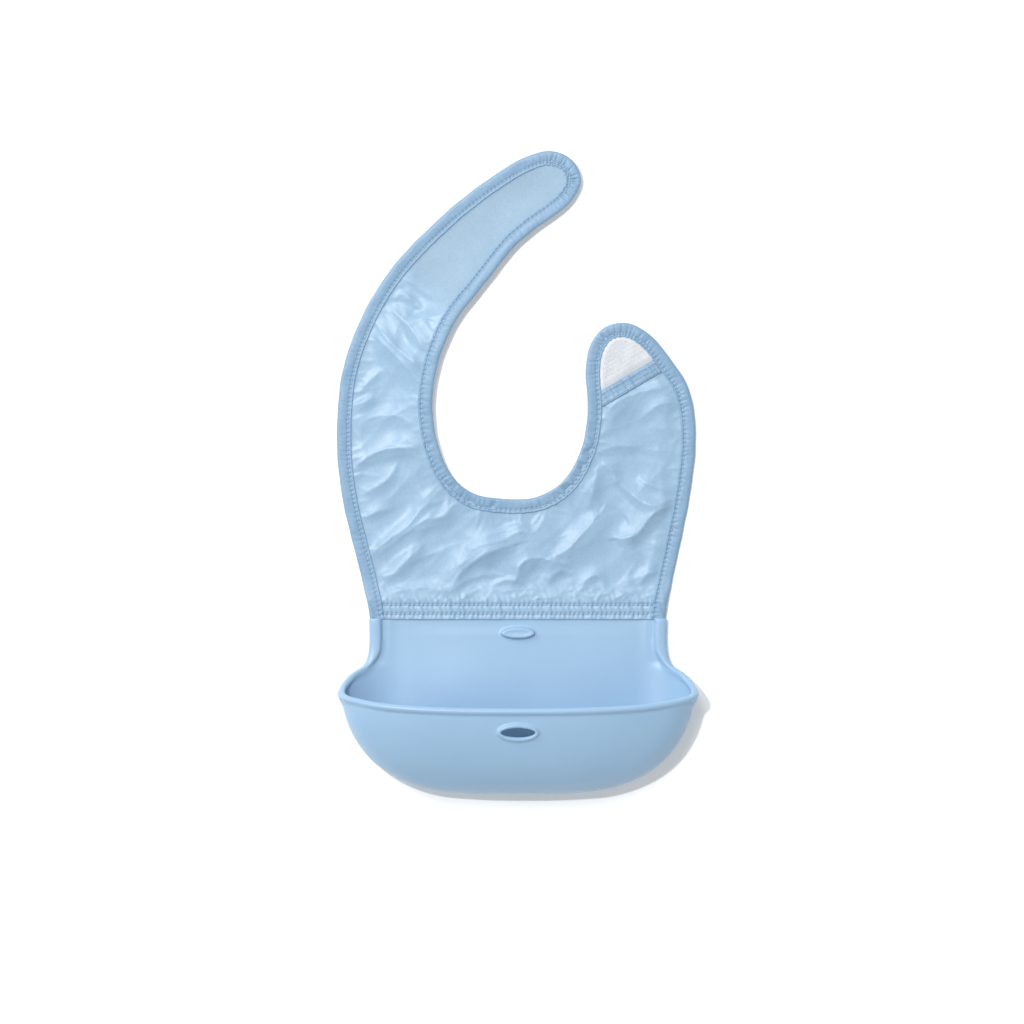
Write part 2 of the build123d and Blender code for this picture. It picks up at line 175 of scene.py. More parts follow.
# Folds: the line of the crest, its height, and how far it spreads on its left and right side,
# looking from the first point to the last.
FOLDS = [
    # above the hem
    ([(-41, -72), (-38.6, -66.5), (-26, -54), (-15.5, -48), (-5.5, -45)], 2.9, 20, 9),
    ([(-5, -70.5), (-0.5, -63.5), (1.2, -57.5), (6.6, -53.3), (16.6, -53), (26, -56)], 2.5, 15, 8.5),
    ([(18, -68), (21, -63.4), (26, -60.4), (32, -61.6)], 1.5, 6, 5),
    ([(-83, -76), (-68, -72), (-52, -71), (-42, -72.5), (-34, -68), (-23, -63.5), (-9.5, -62.5)],
     1.0, 4, 3.5),
    ([(-16, -70), (-7, -66), (2, -68)], 0.9, 3, 2.5),
    ([(38, -72), (44, -64.5), (48.7, -63), (53, -70)], 1.3, 5, 4),
    ([(75, -68), (78, -63), (85, -61)], 1.7, 5, 6),
    # across the chest
    ([(24, -50.6), (29.4, -48), (36.5, -40.6), (43.4, -33), (48.7, -26)], 2.6, 8, 22),
    ([(-29, -47.5), (-20, -43.7), (-8, -40.6), (4.3, -36), (8, -36.8), (15, -29.7), (18, -21.5)], 1.5, 6, 14),
    ([(-20, -39), (-11, -36), (4, -32)], 0.6, 2.5, 3),
    ([(-88, -52), (-80, -46), (-71, -39), (-61.5, -32), (-55.5, -28.5), (-45, -26.7), (-40, -20.5),
      (-34, -19)], 1.5, 7, 8),
    ([(-88, -49), (-80, -42), (-69, -34), (-60, -23.6), (-54, -19), (-49, -18)], 1.1, 8, 4),
    ([(-96, -29), (-86, -24), (-77, -22)], 0.9, 4, 4),
    ([(-86, -63), (-78.5, -63.4), (-71, -57), (-60, -47)], 1.5, 11, 7),
    # left side and strap root
    ([(-100, 3.4), (-94, 8), (-85, 13), (-75, 15), (-65.6, 15), (-58, 17.5)], 1.8, 10, 7),
    ([(-96, -14), (-88, -9.5), (-79, -3.4), (-75, 3)], 1.2, 9, 6),
    ([(-102, 41), (-96, 42.6), (-89, 45.7)], 1.1, 4, 6),
    ([(-100, 47), (-92, 55), (-85, 62)], 0.8, 4, 6),
    ([(-95, 31), (-90, 33.4), (-75, 34.6), (-66, 30)], 1.0, 8, 8),
    ([(-89, 85), (-76, 72), (-64, 59), (-57, 51)], 1.6, 9, 12),
    ([(-88, 92), (-78, 80), (-67, 70), (-57, 61)], 2.3, 8, 10),
    ([(-79, 101), (-68, 91), (-60, 80), (-55, 74)], 2.0, 7, 9),
    ([(-75, 108), (-70.5, 109.4), (-65.6, 105.7), (-59.5, 101)], 1.0, 3, 4),
    ([(-69, 119), (-62, 114.5), (-57, 110.5), (-50, 105.7)], 1.0, 3, 3),
    ([(-67, 121), (-60, 117), (-54, 112), (-45, 106)], 0.8, 3, 2.5),
    ([(-67, 122), (-60.7, 127), (-53, 130), (-43.5, 132.7), (-31, 134)], 1.3, 5, 7),
    ([(-66, 92), (-56, 95), (-50, 93)], 0.9, 3, 4),
    # right side and tab
    ([(50, 30), (58, 41), (74, 49), (92, 53)], 2.0, 5, 14),
    ([(50, 13), (60, 16), (75, 16)], 1.0, 5, 6),
    ([(59.5, -6), (67, -11), (75, -17.5), (84, -20), (95, -16)], 1.7, 8, 5),
    ([(75, -4), (84, -9), (98, -11)], 1.3, 5, 5),
    ([(50, 6), (56, 3), (60, -5)], 1.0, 5, 5),
    ([(62.5, -40.6), (73, -37.6), (79.5, -29), (87, -23), (96, -20)], 2.9, 13, 6.5),
    ([(65.6, -43.7), (70, -48), (76, -54), (87, -59)], 0.9, 6, 5),
    ([(49, 3), (46, -12), (43, -20)], 0.9, 5, 5),
    ([(76, 33), (86, 41), (98, 43)], 1.2, 6, 7),
]


def fold_field(xy):
    """Height of all the folds. Each is a sharp crest that runs out at both ends."""
    out = np.zeros(len(xy))
    for line, height, left, right in FOLDS:
        u, p, t = cubic_through(line, 1.0)
        reach = 1.6 * max(left, right) + 2
        lo, hi = p.min(0) - reach, p.max(0) + reach
        near = np.where(((xy > lo) & (xy < hi)).all(1))[0]
        if not len(near):
            continue
        d2 = ((xy[near][:, None, :] - p[None]) ** 2).sum(-1)
        k = d2.argmin(1)
        off = xy[near] - p[k]
        side = t[k, 0] * off[:, 1] - t[k, 1] * off[:, 0]
        dist = np.sqrt(d2[np.arange(len(near)), k] + 0.15) - 0.25
        fade = np.sin(np.pi * np.clip((u[k] + 0.12 * u[-1]) / (1.24 * u[-1]), 0, 1)) ** 0.8
        width = np.where(side > 0, left * 1.2, right) * (0.35 + 0.65 * fade)
        gap = 1 - dist / width
        shape = 0.5 * (gap + np.sqrt(gap * gap + 0.06))
        shape += 0.11 * np.exp(-(dist / 0.65) ** 2)
        beyond = np.abs(off[:, 0] * t[k, 0] + off[:, 1] * t[k, 1])
        shape *= np.exp(-(beyond / (0.8 * width)) ** 2)
        out[near] += height * fade * shape
    return out


# Which way the fabric is pulled at places across it: x, y and the direction in degrees.
TENSION = [(-80, -40, 42), (-60, -20, 35), (-30, -40, 28), (0, -40, 18), (20, -55, 40), (45, -45, 38),
           (70, -35, -30), (75, -10, -22), (60, 15, 5), (85, 20, -8), (70, 45, 28), (-85, 10, 20),
           (-75, 35, 12), (-88, 50, 30), (-80, 75, -48), (-62, 90, -52), (-60, 110, 10), (-70, 55, -35),
           (-62, 5, 60), (85, -55, 25)]


def make_streaks():
    """Fine tension lines over the fabric and short puckers along the sewn rows.

    Each is a row: centre x, y, direction, length, bend, wiggle, height and spread to either side.
    """
    rng = np.random.default_rng(17)
    rows = []
    tension = np.array(TENSION, float)
    spots = rng.uniform((-108, -72), (106, 116), (330, 2))
    _, inset = nearest_on_edge(spots)
    for (x, y), depth in zip(spots, inset):
        if depth < 13 or strap_end_share(np.array([[x, y]]))[0] > 0.1:
            continue
        w = 1 / (((tension[:, :2] - (x, y)) ** 2).sum(1) + 60) ** 2
        turn = math.radians((w * tension[:, 2]).sum() / w.sum() + rng.normal(0, 14))
        rows.append((x, y, turn, rng.uniform(14, 42), rng.uniform(-0.012, 0.012), rng.uniform(-0.8, 0.8),
                     rng.choice([0.12, 0.22, 0.36], p=[0.45, 0.35, 0.2]) * rng.uniform(0.7, 1.2),
                     rng.uniform(1.5, 6), rng.uniform(2.5, 8)))
    u = 12.0
    while u < EDGE_U[-1] - 12:
        k = int(np.searchsorted(EDGE_U, u))
        calm = strap_end_share(EDGE_P[k][None])[0]
        length = rng.uniform(5, 14) * (1 - 0.5 * calm)
        centre = EDGE_P[k] + EDGE_N[k] * (BINDING - 0.5 + 0.36 * length)
        turn = math.atan2(EDGE_N[k][1], EDGE_N[k][0]) + rng.normal(0, 0.4)
        rows.append((*centre, turn, length, rng.uniform(-0.03, 0.03), rng.uniform(-0.4, 0.4),
                     rng.uniform(0.12, 0.40) * (1 - 0.7 * calm), rng.uniform(0.9, 2.0),
                     rng.uniform(1.4, 3.2)))
        u += rng.uniform(3.5, 10)
    for _ in range(70):
        rows.append((rng.uniform(-82, 82), rng.uniform(-77, -70.5), rng.normal(0.12, 0.45),
                     rng.uniform(7, 20), rng.uniform(-0.03, 0.03), rng.uniform(-1.6, 1.6),
                     rng.uniform(0.10, 0.32), rng.uniform(0.8, 1.7), rng.uniform(1.0, 2.4)))
    x = -86.0
    while x < 86:
        length = rng.uniform(3, 9)
        rows.append((x, -80 + 0.36 * length, math.pi / 2 + rng.normal(-0.1, 0.45), length,
                     rng.uniform(-0.05, 0.05), rng.uniform(-0.8, 0.8), rng.uniform(0.08, 0.28),
                     rng.uniform(0.7, 1.2), rng.uniform(0.8, 1.6)))
        x += rng.uniform(1.8, 4.6)
    return np.array(rows)


def streak_field(xy):
    """Height of the fine lines and puckers."""
    out = np.zeros(len(xy))
    for x, y, turn, length, bend, wiggle, height, left, right in STREAKS:
        near = np.where((np.abs(xy[:, 0] - x) < length) & (np.abs(xy[:, 1] - y) < length))[0]
        if not len(near):
            continue
        off = xy[near] - (x, y)
        a = off[:, 0] * math.cos(turn) + off[:, 1] * math.sin(turn)
        b = -off[:, 0] * math.sin(turn) + off[:, 1] * math.cos(turn)
        b = b - bend * a * a - wiggle * np.sin(6.3 * a / length)
        fade = np.cos(np.clip(a / length, -0.5, 0.5) * math.pi) ** 1.3
        gap = 1 - np.sqrt(b * b + 0.1) / np.where(b > 0, left, right)
        tent = 0.5 * (gap + np.sqrt(gap * gap + 0.05))
        out[near] += height * fade * (0.75 * tent + 0.25 * np.exp(-(b / 0.6) ** 2))
    return out


LIFT_INDEX = np.array([edge_index(*p) for p, _ in EDGE_LIFT])
LIFT_VALUE = np.array([v for _, v in EDGE_LIFT])
EDGE_RISE = np.interp(EDGE_U, EDGE_U[LIFT_INDEX], LIFT_VALUE)
for _ in range(240):
    EDGE_RISE[1:-1] = (EDGE_RISE[:-2] + 2 * EDGE_RISE[1:-1] + EDGE_RISE[2:]) / 4


SUM_STEP = EDGE_STEP * FIELD_STEP


def edge_field(xy):
    """A smooth distance to the edge and the edge's own lift, felt from both sides of a strip."""
    soft = np.empty(len(xy))
    lift = np.empty(len(xy))
    for i in range(0, len(xy), CHUNK):
        part = xy[i:i + CHUNK]
        d2 = ((part[:, None, :] - EDGE_P[None, ::FIELD_STEP, :]) ** 2).sum(-1) + 0.4
        total = (d2 ** -3).sum(1)
        mild = d2 ** -1.6
        lift[i:i + CHUNK] = (mild * EDGE_RISE[None, ::FIELD_STEP]).sum(1) / mild.sum(1)
        # The sum of 1 / d^6 along a straight edge is 3 pi / (8 step d^5), which gives back d.
        soft[i:i + CHUNK] = (total * SUM_STEP * 8 / (3 * math.pi)) ** -0.2
    return soft, lift


# From the crease towards the strap's tip.
LIFT_DIR = unit([-(CREASE_B - CREASE_A)[1], (CREASE_B - CREASE_A)[0]])


def strap_end_share(xy):
    """0 on the chest, 1 on the smooth pad of the strap's end."""
    return smooth(-4, 14, (xy - CREASE_B) @ LIFT_DIR) * smooth(75, 95, xy[:, 1])


STREAKS = make_streaks()


def fabric_top(xy):
    """Height of the front fabric's upper side, in mm, at points of the drawing."""
    xy = np.asarray(xy, float)
    _, inset = nearest_on_edge(xy)
    inset = np.maximum(inset, 0)
    sewn = inset > 8                                # the hem's stitches keep clear of the binding
    soft, lift = edge_field(xy)
    rise = lift * np.exp(-(soft / 30) ** 2)
    calm = 1 - 0.85 * strap_end_share(xy)
    hem = 1 - smooth(-80, -62, xy[:, 1])
    inner = smooth(6, 16, inset)
    folds = fold_field(xy) * inner * (1 - hem) * calm
    warped = xy + 4.0 * np.column_stack([waves_2d(xy, 5, 30, 70, 8), waves_2d(xy, 5, 30, 70, 9)])
    rough = waves_2d(warped, 7, 34, 75, 3, ridged=True) * 0.34
    rough = rough * smooth(5, 14, inset) * calm * (1 - 0.8 * hem)
    fine = streak_field(xy) * smooth(5, 9.5, inset) * smooth(-80.6, -78.6, xy[:, 1])
    rows = sum(np.exp(-((xy[:, 1] - y) / 0.9) ** 2) for y in HEM_ROWS)
    crimp = waves_1d(xy[:, 0] + 0.3 * xy[:, 1], [3.4, 5.6, 9.0], 13) * 0.24 * hem
    crimp *= smooth(-90, -88.5, xy[:, 1])
    crimp *= 1 - 0.75 * smooth(-80, -77, xy[:, 1])
    pits = rows * sewn * np.cos(np.pi * (xy[:, 0] + HEM_HALF + PITCH / 2) / PITCH) ** 4
    quilt = 0.20 * hem * (1 - rows) * sewn * np.cos(2 * np.pi * (xy[:, 0] + 0.6 * xy[:, 1]) / PITCH)
    quilt *= smooth(-89.3, -88.3, xy[:, 1]) * (1 - smooth(-79.6, -78.4, xy[:, 1]))
    base = FABRIC_LOW + (HEM_TOP - FABRIC_LOW) * hem
    z = base + rise + folds + rough + fine + crimp + quilt - 0.30 * rows * sewn - 0.85 * pits
    low, ease = FABRIC_LOW - 0.15, 0.6              # valleys flatten out above the table
    return np.where(z < low + ease, low + ease * np.exp((z - low - ease) / ease), z)


# ------------------------------------------------------------------ mesh helpers
def to_world(points):
    return (np.asarray(points, float) + SHIFT) * MM


def new_object(name, points, faces, material, normals=None):
    """A mesh object from points in drawing mm."""
    mesh = bpy.data.meshes.new(name)
    mesh.from_pydata(to_world(points).tolist(), [], [list(map(int, f)) for f in faces])
    mesh.update()
    mesh.shade_smooth()
    obj = bpy.data.objects.new(name, mesh)
    bpy.context.scene.collection.objects.link(obj)
    mesh.materials.append(material)
    if normals is not None:
        mesh.normals_split_custom_set_from_vertices(np.asarray(normals).tolist())
    return obj


def vertex_normals(points, faces):
    """Smooth normals of a triangle or quad mesh."""
    n = np.zeros_like(points)
    f = np.asarray(faces)
    a, b, c = points[f[:, 0]], points[f[:, 1]], points[f[:, 2]]
    if f.shape[1] == 4:
        d = points[f[:, 3]]
        face = np.cross(c - a, d - b)
    else:
        face = np.cross(b - a, c - a)
    for k in range(f.shape[1]):
        np.add.at(n, f[:, k], face)
    return n / np.maximum(np.linalg.norm(n, axis=1, keepdims=True), 1e-12)


def inside(poly, pts):
    """Which points are inside a closed polygon."""
    hit = np.zeros(len(pts), bool)
    q = np.roll(poly, -1, axis=0)
    for (x0, y0), (x1, y1) in zip(poly, q):
        if y0 == y1:
            continue
        crosses = (y0 > pts[:, 1]) != (y1 > pts[:, 1])
        hit ^= crosses & (pts[:, 0] < (x1 - x0) * (pts[:, 1] - y0) / (y1 - y0) + x0)
    return hit


# ------------------------------------------------------------------ lines that part the moving pieces
# Where a bend begins and ends, and where the pieces part: up the page, then along each direction.
FOLD_START, FOLD_END, FOLD_PART = -78.8, -62.0, -60.0
SWING_DIR = np.array([math.cos(math.radians(60)), math.sin(math.radians(60))])
SWING_START, SWING_END, SWING_PART = -46.0, 15.0, -48.0
SWING_LOW, LIFT_LOW = 10, 60                # the strap's cuts stay above these heights


def zone_of(xy):
    """Which moving zone a point is in: 0 hem, 1 chest and tab, 2 strap root, 3 strap end."""
    xy = np.asarray(xy, float)
    zone = np.ones(len(xy), int)
    zone[xy[:, 1] < FOLD_PART] = 0
    near_strap = (xy[:, 0] < 0) | (xy[:, 1] > 95)
    swing = (xy - PIVOT) @ SWING_DIR
    zone[(swing > SWING_PART) & near_strap & (xy[:, 1] > SWING_LOW)] = 2
    lift = (xy - CREASE_B) @ LIFT_DIR
    zone[(lift > 0) & near_strap & (xy[:, 1] > LIFT_LOW)] = 3
    return zone


ZONES = ["hem", "chest", "strap", "strap_end"]


def attach(obj, zone):
    """Parents the chest's pieces to the chest body; the pieces of the other zones only get their placement
    baked into their points.
    """
    def place(xy):
        p = (np.array([xy[0], xy[1], 0]) + SHIFT) * MM
        return tuple(float(v) for v in p)
    if zone == 0:
        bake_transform(obj)
    elif zone == 1:
        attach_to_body(obj, "chest")
    elif zone == 2:
        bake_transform(obj)
    else:
        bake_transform(obj)


# ------------------------------------------------------------------ materials
def material(name):
    mat = bpy.data.materials.new(name)
    mat.use_nodes = True
    return mat, mat.node_tree, mat.node_tree.nodes["Principled BSDF"]


def look(bsdf, **values):
    """Sets the shader's plain values. A _ stands for a space."""
    for key, value in values.items():
        bsdf.inputs[key.replace("_", " ")].default_value = value


def node(tree, kind, **values):
    n = tree.nodes.new(kind)
    for key, value in values.items():
        if key in n.inputs:
            n.inputs[key].default_value = value
        else:
            setattr(n, key, value)
    return n


def coords(tree, turn=0.0):
    tc = node(tree, "ShaderNodeTexCoord")
    mp = node(tree, "ShaderNodeMapping")
    mp.inputs["Rotation"].default_value = (0, 0, turn)
    tree.links.new(tc.outputs["Object"], mp.inputs["Vector"])
    return mp.outputs["Vector"]


def ramp(tree, fac, stops):
    n = node(tree, "ShaderNodeValToRGB")
    while len(n.color_ramp.elements) < len(stops):
        n.color_ramp.elements.new(0.5)
    for e, (pos, col) in zip(n.color_ramp.elements, stops):
        e.position = pos
        e.color = (*col, 1)
    tree.links.new(fac, n.inputs["Fac"])
    return n.outputs["Color"]


def levels(tree, fac, stops):
    """A ramp of plain values, such as roughness."""
    return ramp(tree, fac, [(pos, (value,) * 3) for pos, value in stops])


def noise(tree, vec, scale, detail=3.0, rough=0.5):
    n = node(tree, "ShaderNodeTexNoise", Scale=scale, Detail=detail, Roughness=rough)
    tree.links.new(vec, n.inputs["Vector"])
    return n.outputs["Fac"]


def wave(tree, vec, scale, axis="X", distortion=0.4):
    n = node(tree, "ShaderNodeTexWave", bands_direction=axis, Scale=scale, Distortion=distortion, Detail=1.0)
    n.inputs["Detail Scale"].default_value = 2.0
    tree.links.new(vec, n.inputs["Vector"])
    return n.outputs["Fac"]


def math_node(tree, op, a, b):
    n = node(tree, "ShaderNodeMath", operation=op)
    for sock, v in zip(n.inputs, (a, b)):
        if isinstance(v, (int, float)):
            sock.default_value = v
        else:
            tree.links.new(v, sock)
    return n.outputs[0]


def mix(tree, fac, a, b):
    n = node(tree, "ShaderNodeMix", data_type="RGBA")
    tree.links.new(fac, n.inputs["Factor"])
    tree.links.new(a, n.inputs["A"])
    tree.links.new(b, n.inputs["B"])
    return n.outputs["Result"]


def bump(tree, bsdf, height, strength, distance):
    n = node(tree, "ShaderNodeBump", Strength=strength, Distance=distance)
    tree.links.new(height, n.inputs["Height"])
    tree.links.new(n.outputs["Normal"], bsdf.inputs["Normal"])


def cloth_material(name, dark, light, rough, weave=350.0, depth=0.00003, sheen=0.25, turn=0.6,
                   gloss=0.4, pad=None):
    """Coated plain-weave fabric: fine warp and weft, cloudy colour, satin sheen.

    pad gives the colours and roughness of the smooth pad, which the point attribute pad_share mixes in.
    """
    mat, tree, bsdf = material(name)
    vec = coords(tree, turn)
    cloud = noise(tree, vec, 38.0, 4.0, 0.6)
    grain = noise(tree, vec, 900.0, 2.0, 0.6)
    mixed = math_node(tree, "ADD", math_node(tree, "MULTIPLY", cloud, 0.45),
                      math_node(tree, "MULTIPLY", grain, 0.55))
    colour = ramp(tree, mixed, [(0.38, dark), (0.62, light)])
    r = levels(tree, cloud, [(0.3, rough[0]), (0.7, rough[1])])
    if pad:
        share = node(tree, "ShaderNodeAttribute", attribute_name="pad_share").outputs["Fac"]
        colour = mix(tree, share, colour, ramp(tree, mixed, [(0.38, pad[0]), (0.62, pad[1])]))
        r = mix(tree, share, r, levels(tree, cloud, [(0.3, pad[2]), (0.7, pad[3])]))
    tree.links.new(colour, bsdf.inputs["Base Color"])
    cloth = math_node(tree, "MAXIMUM", wave(tree, vec, weave, "X"), wave(tree, vec, weave, "Y"))
    height = math_node(tree, "ADD", math_node(tree, "MULTIPLY", cloth, 0.6),
                       math_node(tree, "MULTIPLY", grain, 0.8))
    bump(tree, bsdf, height, 0.5, depth)
    tree.links.new(r, bsdf.inputs["Roughness"])
    look(bsdf, Sheen_Weight=sheen, Sheen_Roughness=0.45, Sheen_Tint=(0.8, 0.9, 1.0, 1),
         Specular_IOR_Level=gloss)
    return mat


def silicone_material():
    """Matt moulded silicone: soft depth from a little subsurface, faint dust bloom, very fine mould texture,
    and a painted shade that darkens the floor inside the pocket below the slot.
    """
    mat, tree, bsdf = material("silicone_blue")
    vec = coords(tree)
    cloud = noise(tree, vec, 14.0, 3.0, 0.5)
    outside = ramp(tree, cloud, [(0.3, (0.30, 0.48, 0.68)), (0.7, (0.32, 0.505, 0.705))])
    # Painted shade: a darker copy of the colour, mixed in on the pocket's floor below the slot so that the
    # slot looks dark.
    painted_shade_colour = ramp(tree, cloud, [(0.3, (0.13, 0.24, 0.37)), (0.7, (0.15, 0.27, 0.40))])
    share = node(tree, "ShaderNodeAttribute", attribute_name="painted_shade_share").outputs["Fac"]
    tree.links.new(mix(tree, share, outside, painted_shade_colour), bsdf.inputs["Base Color"])
    fine = noise(tree, vec, 2600.0, 2.0, 0.6)
    speck = noise(tree, vec, 420.0, 3.0, 0.7)
    bump(tree, bsdf, math_node(tree, "ADD", fine, math_node(tree, "MULTIPLY", speck, 0.6)), 0.25, 0.00004)
    tree.links.new(levels(tree, speck, [(0.3, 0.34), (0.75, 0.44)]), bsdf.inputs["Roughness"])
    look(bsdf, Subsurface_Weight=0.05, Subsurface_Radius=(0.5, 0.8, 1.0), Subsurface_Scale=0.003,
         Sheen_Weight=0.15, Sheen_Roughness=0.6, Specular_IOR_Level=0.5)
    return mat


def thread_material():
    mat, tree, bsdf = material("thread_blue")
    vec = coords(tree)
    twist = wave(tree, vec, 320.0, "DIAGONAL", 1.0)
    tree.links.new(ramp(tree, twist, [(0.2, (0.27, 0.43, 0.61)), (0.8, (0.40, 0.57, 0.74))]),
                   bsdf.inputs["Base Color"])
    bump(tree, bsdf, twist, 0.6, 0.00008)
    look(bsdf, Roughness=0.5, Sheen_Weight=0.3)
    return mat


def hook_material():
    mat, tree, bsdf = material("hook_white")
    vec = coords(tree, 0.45)
    grain = noise(tree, vec, 1400.0, 2.0, 0.6)
    rows = math_node(tree, "MULTIPLY", wave(tree, vec, 60.0, "Y", 0.8), 0.3)
    weave = math_node(tree, "MULTIPLY", wave(tree, vec, 330.0, "DIAGONAL", 0.6), 0.15)
    shade = math_node(tree, "ADD", math_node(tree, "MULTIPLY", grain, 0.85), weave)
    tree.links.new(ramp(tree, shade, [(0.2, (0.58, 0.61, 0.66)), (0.75, (0.75, 0.78, 0.83))]),
                   bsdf.inputs["Base Color"])
    bump(tree, bsdf, math_node(tree, "ADD", math_node(tree, "ADD", grain, rows), weave), 0.7, 0.00015)
    look(bsdf, Roughness=0.55, Sheen_Weight=0.2)
    return mat


PAD_LOOK = ((0.295, 0.43, 0.565), (0.345, 0.49, 0.63), 0.75, 0.85)      # dark, light, roughness from and to
NYLON = cloth_material("nylon_blue", (0.28, 0.44, 0.61), (0.33, 0.495, 0.67), (0.34, 0.43), sheen=0.08,
                       gloss=0.43, pad=PAD_LOOK)
PAD = cloth_material("pad_blue", (0.28, 0.44, 0.61), (0.33, 0.495, 0.67), (0.38, 0.47), weave=300.0,
                     depth=0.00005, sheen=0.15, gloss=0.35, pad=PAD_LOOK)
TAPE = cloth_material("tape_blue", (0.205, 0.352, 0.52), (0.26, 0.41, 0.585), (0.38, 0.48), weave=300.0,
                      turn=0.2, sheen=0.15)
LINING = cloth_material("lining_blue", (0.36, 0.54, 0.74), (0.42, 0.60, 0.78), (0.3, 0.42), sheen=0.1)
LOOP = cloth_material("loop_blue", (0.36, 0.52, 0.72), (0.47, 0.63, 0.80), (0.85, 0.95), weave=225.0,
                      depth=0.0003, sheen=0.8)
LABEL = cloth_material("label_white", (0.78, 0.80, 0.82), (0.86, 0.88, 0.89), (0.6, 0.7), weave=300.0)
THREAD = thread_material()
HOOK = hook_material()
SILICONE = silicone_material()


# ------------------------------------------------------------------ front fabric and lining
def inset_line(inset, step=4):
    """The edge moved inwards, from the left hem corner round to the right one."""
    return (EDGE_P + EDGE_N * inset)[::step]


def staggered(lo, hi, across, up):
    """Points in rows between two corners, every other row moved by half a step."""
    xs, ys = np.arange(lo[0], hi[0], across), np.arange(lo[1], hi[1], up)
    return np.array([(x + (across / 2 if j % 2 else 0), y) for j, y in enumerate(ys) for x in xs])


def ring(count):
    return [(i, (i + 1) % count) for i in range(count)]


def triangulate(points, edges, outline):
    """Points and triangles inside the outline, all facing up, with the edges kept."""
    out = delaunay_2d_cdt([Vector(p) for p in points], edges, [], 1, 1e-4)
    v = np.array([tuple(p) for p in out[0]])
    f = np.array([t for t in out[2] if len(t) == 3])
    a, b, c = v[f[:, 0]], v[f[:, 1]], v[f[:, 2]]
    area = (b[:, 0] - a[:, 0]) * (c[:, 1] - a[:, 1]) - (b[:, 1] - a[:, 1]) * (c[:, 0] - a[:, 0])
    f[area < 0] = f[area < 0][:, ::-1]
    f = f[np.abs(area) > 1e-4]
    return v, f[inside(outline, v[f].mean(1))]


HEM_STEP = 1.4           # between points along the bottom edge
FINE_TOP = -77           # below this the mesh is finer, for the hem's small puckers


def panel_mesh(inset, bottom_y, spacing):
    """Points and triangles that fill the fabric's outline, with the zone lines kept as edges."""
    line = inset_line(inset)
    line = line[line[:, 1] > bottom_y]
    count = int((line[-1, 0] - line[0, 0]) / HEM_STEP)
    base = np.stack([np.linspace(line[-1, 0], line[0, 0], count + 1), np.full(count + 1, bottom_y)], axis=1)
    outline = np.concatenate([line, base])
    lo, hi = outline.min(0), outline.max(0)
    cuts = []

    def cut(a, b, step, strap_above=None):
        n = max(2, int(np.linalg.norm(b - a) / step))
        p = a + (b - a) * np.linspace(0, 1, n + 1)[:, None]
        ok = inside(outline, p)
        if strap_above is not None:
            ok &= (p[:, 0] < 0) & (p[:, 1] > strap_above)
        cuts.append(p[ok])

    for y, step in ((FOLD_PART, spacing), (bottom_y + 0.5, HEM_STEP)):
        cut(np.array([lo[0], y]), np.array([hi[0], y]), step)
    across = np.array([-SWING_DIR[1], SWING_DIR[0]])
    q = PIVOT + SWING_DIR * SWING_PART
    cut(q + across * 120, q - across * 120, spacing, SWING_LOW)
    d = unit(CREASE_A - CREASE_B)
    cut(CREASE_B - d * 30, CREASE_B + d * 80, spacing, LIFT_LOW)
    fixed = np.concatenate([outline] + cuts)
    grid = staggered(lo, hi, spacing, spacing * 0.866)
    grid = grid + RNG.uniform(-0.12, 0.12, grid.shape) * spacing
    grid = grid[inside(outline, grid)]
    fine = staggered((lo[0], bottom_y + 1), (hi[0], FINE_TOP), 0.7, 0.65)
    grid = np.concatenate([grid[grid[:, 1] > FINE_TOP], fine[inside(outline, fine)]])
    tree = KDTree(len(fixed))
    for i, p in enumerate(fixed):
        tree.insert((p[0], p[1], 0), i)
    tree.balance()
    clear = np.where(grid[:, 1] < FINE_TOP, 0.55, spacing * 0.62)
    far = np.array([tree.find((*p, 0))[2] > gap for p, gap in zip(grid, clear)])
    edges = ring(len(outline))
    at = len(outline)
    for c in cuts:
        edges += [(at + i, at + i + 1) for i in range(len(c) - 1)
                  if np.linalg.norm(c[i + 1] - c[i]) < 2 * spacing]
        at += len(c)
    return triangulate(np.concatenate([fixed, grid[far]]), edges, outline)


def take(points, faces, normals, pick):
    """The faces picked, with only their own points."""
    f = faces[pick]
    used, back = np.unique(f, return_inverse=True)
    return points[used], back.reshape(f.shape), normals[used]


PANEL_INSET = 5.0        # the panels end under the binding
flat_v, flat_f = panel_mesh(PANEL_INSET, HEM_Y - 1.0, 1.05)
top = fabric_top(flat_v)
lip = smooth(HEM_Y - 0.55, HEM_Y - 1.0, flat_v[:, 1])
front_points = np.column_stack([flat_v, top - 0.9 * lip])
front_normals = vertex_normals(front_points, flat_f)
face_zone = zone_of(front_points[flat_f].mean(1)[:, :2])
lining_points = np.column_stack([flat_v, np.maximum(top - LINING_DROP, 0.35)])
hem_zone = 1 - smooth(-78, -70, flat_v[:, 1])
lining_points[:, 2] = lining_points[:, 2] * (1 - hem_zone) + 0.3 * hem_zone
back_faces = flat_f[:, ::-1]
lining_normals = vertex_normals(lining_points, back_faces)
FACE_NODES = [["hem_front"], ["chest_face"], ["strap_face"], ["strap_end_face"]]
BACK_NODES = [["hem_back"], ["chest_backing"], ["strap_backing"], ["loop_patch"]]
for zone, name in enumerate(ZONES):
    pick = face_zone == zone
    for kind in ("panel", "lining"):
        if kind == "panel":
            p, f, n = take(front_points, flat_f, front_normals, pick)
            mat, nodes, slot = (PAD if zone == 3 else NYLON), FACE_NODES[zone], "nylon"
        else:
            p, f, n = take(lining_points, back_faces, lining_normals, pick)
            mat = LOOP if zone == 3 else LINING
            nodes, slot = BACK_NODES[zone], "loop" if zone == 3 else "backing"
        obj = new_object(f"{kind}_{name}", p, f, mat, n)
        share = obj.data.attributes.new("pad_share", "FLOAT", "POINT")
        share.data.foreach_set("value", strap_end_share(p[:, :2]).astype(np.float32))
        attach(obj, zone)
        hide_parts(*nodes)


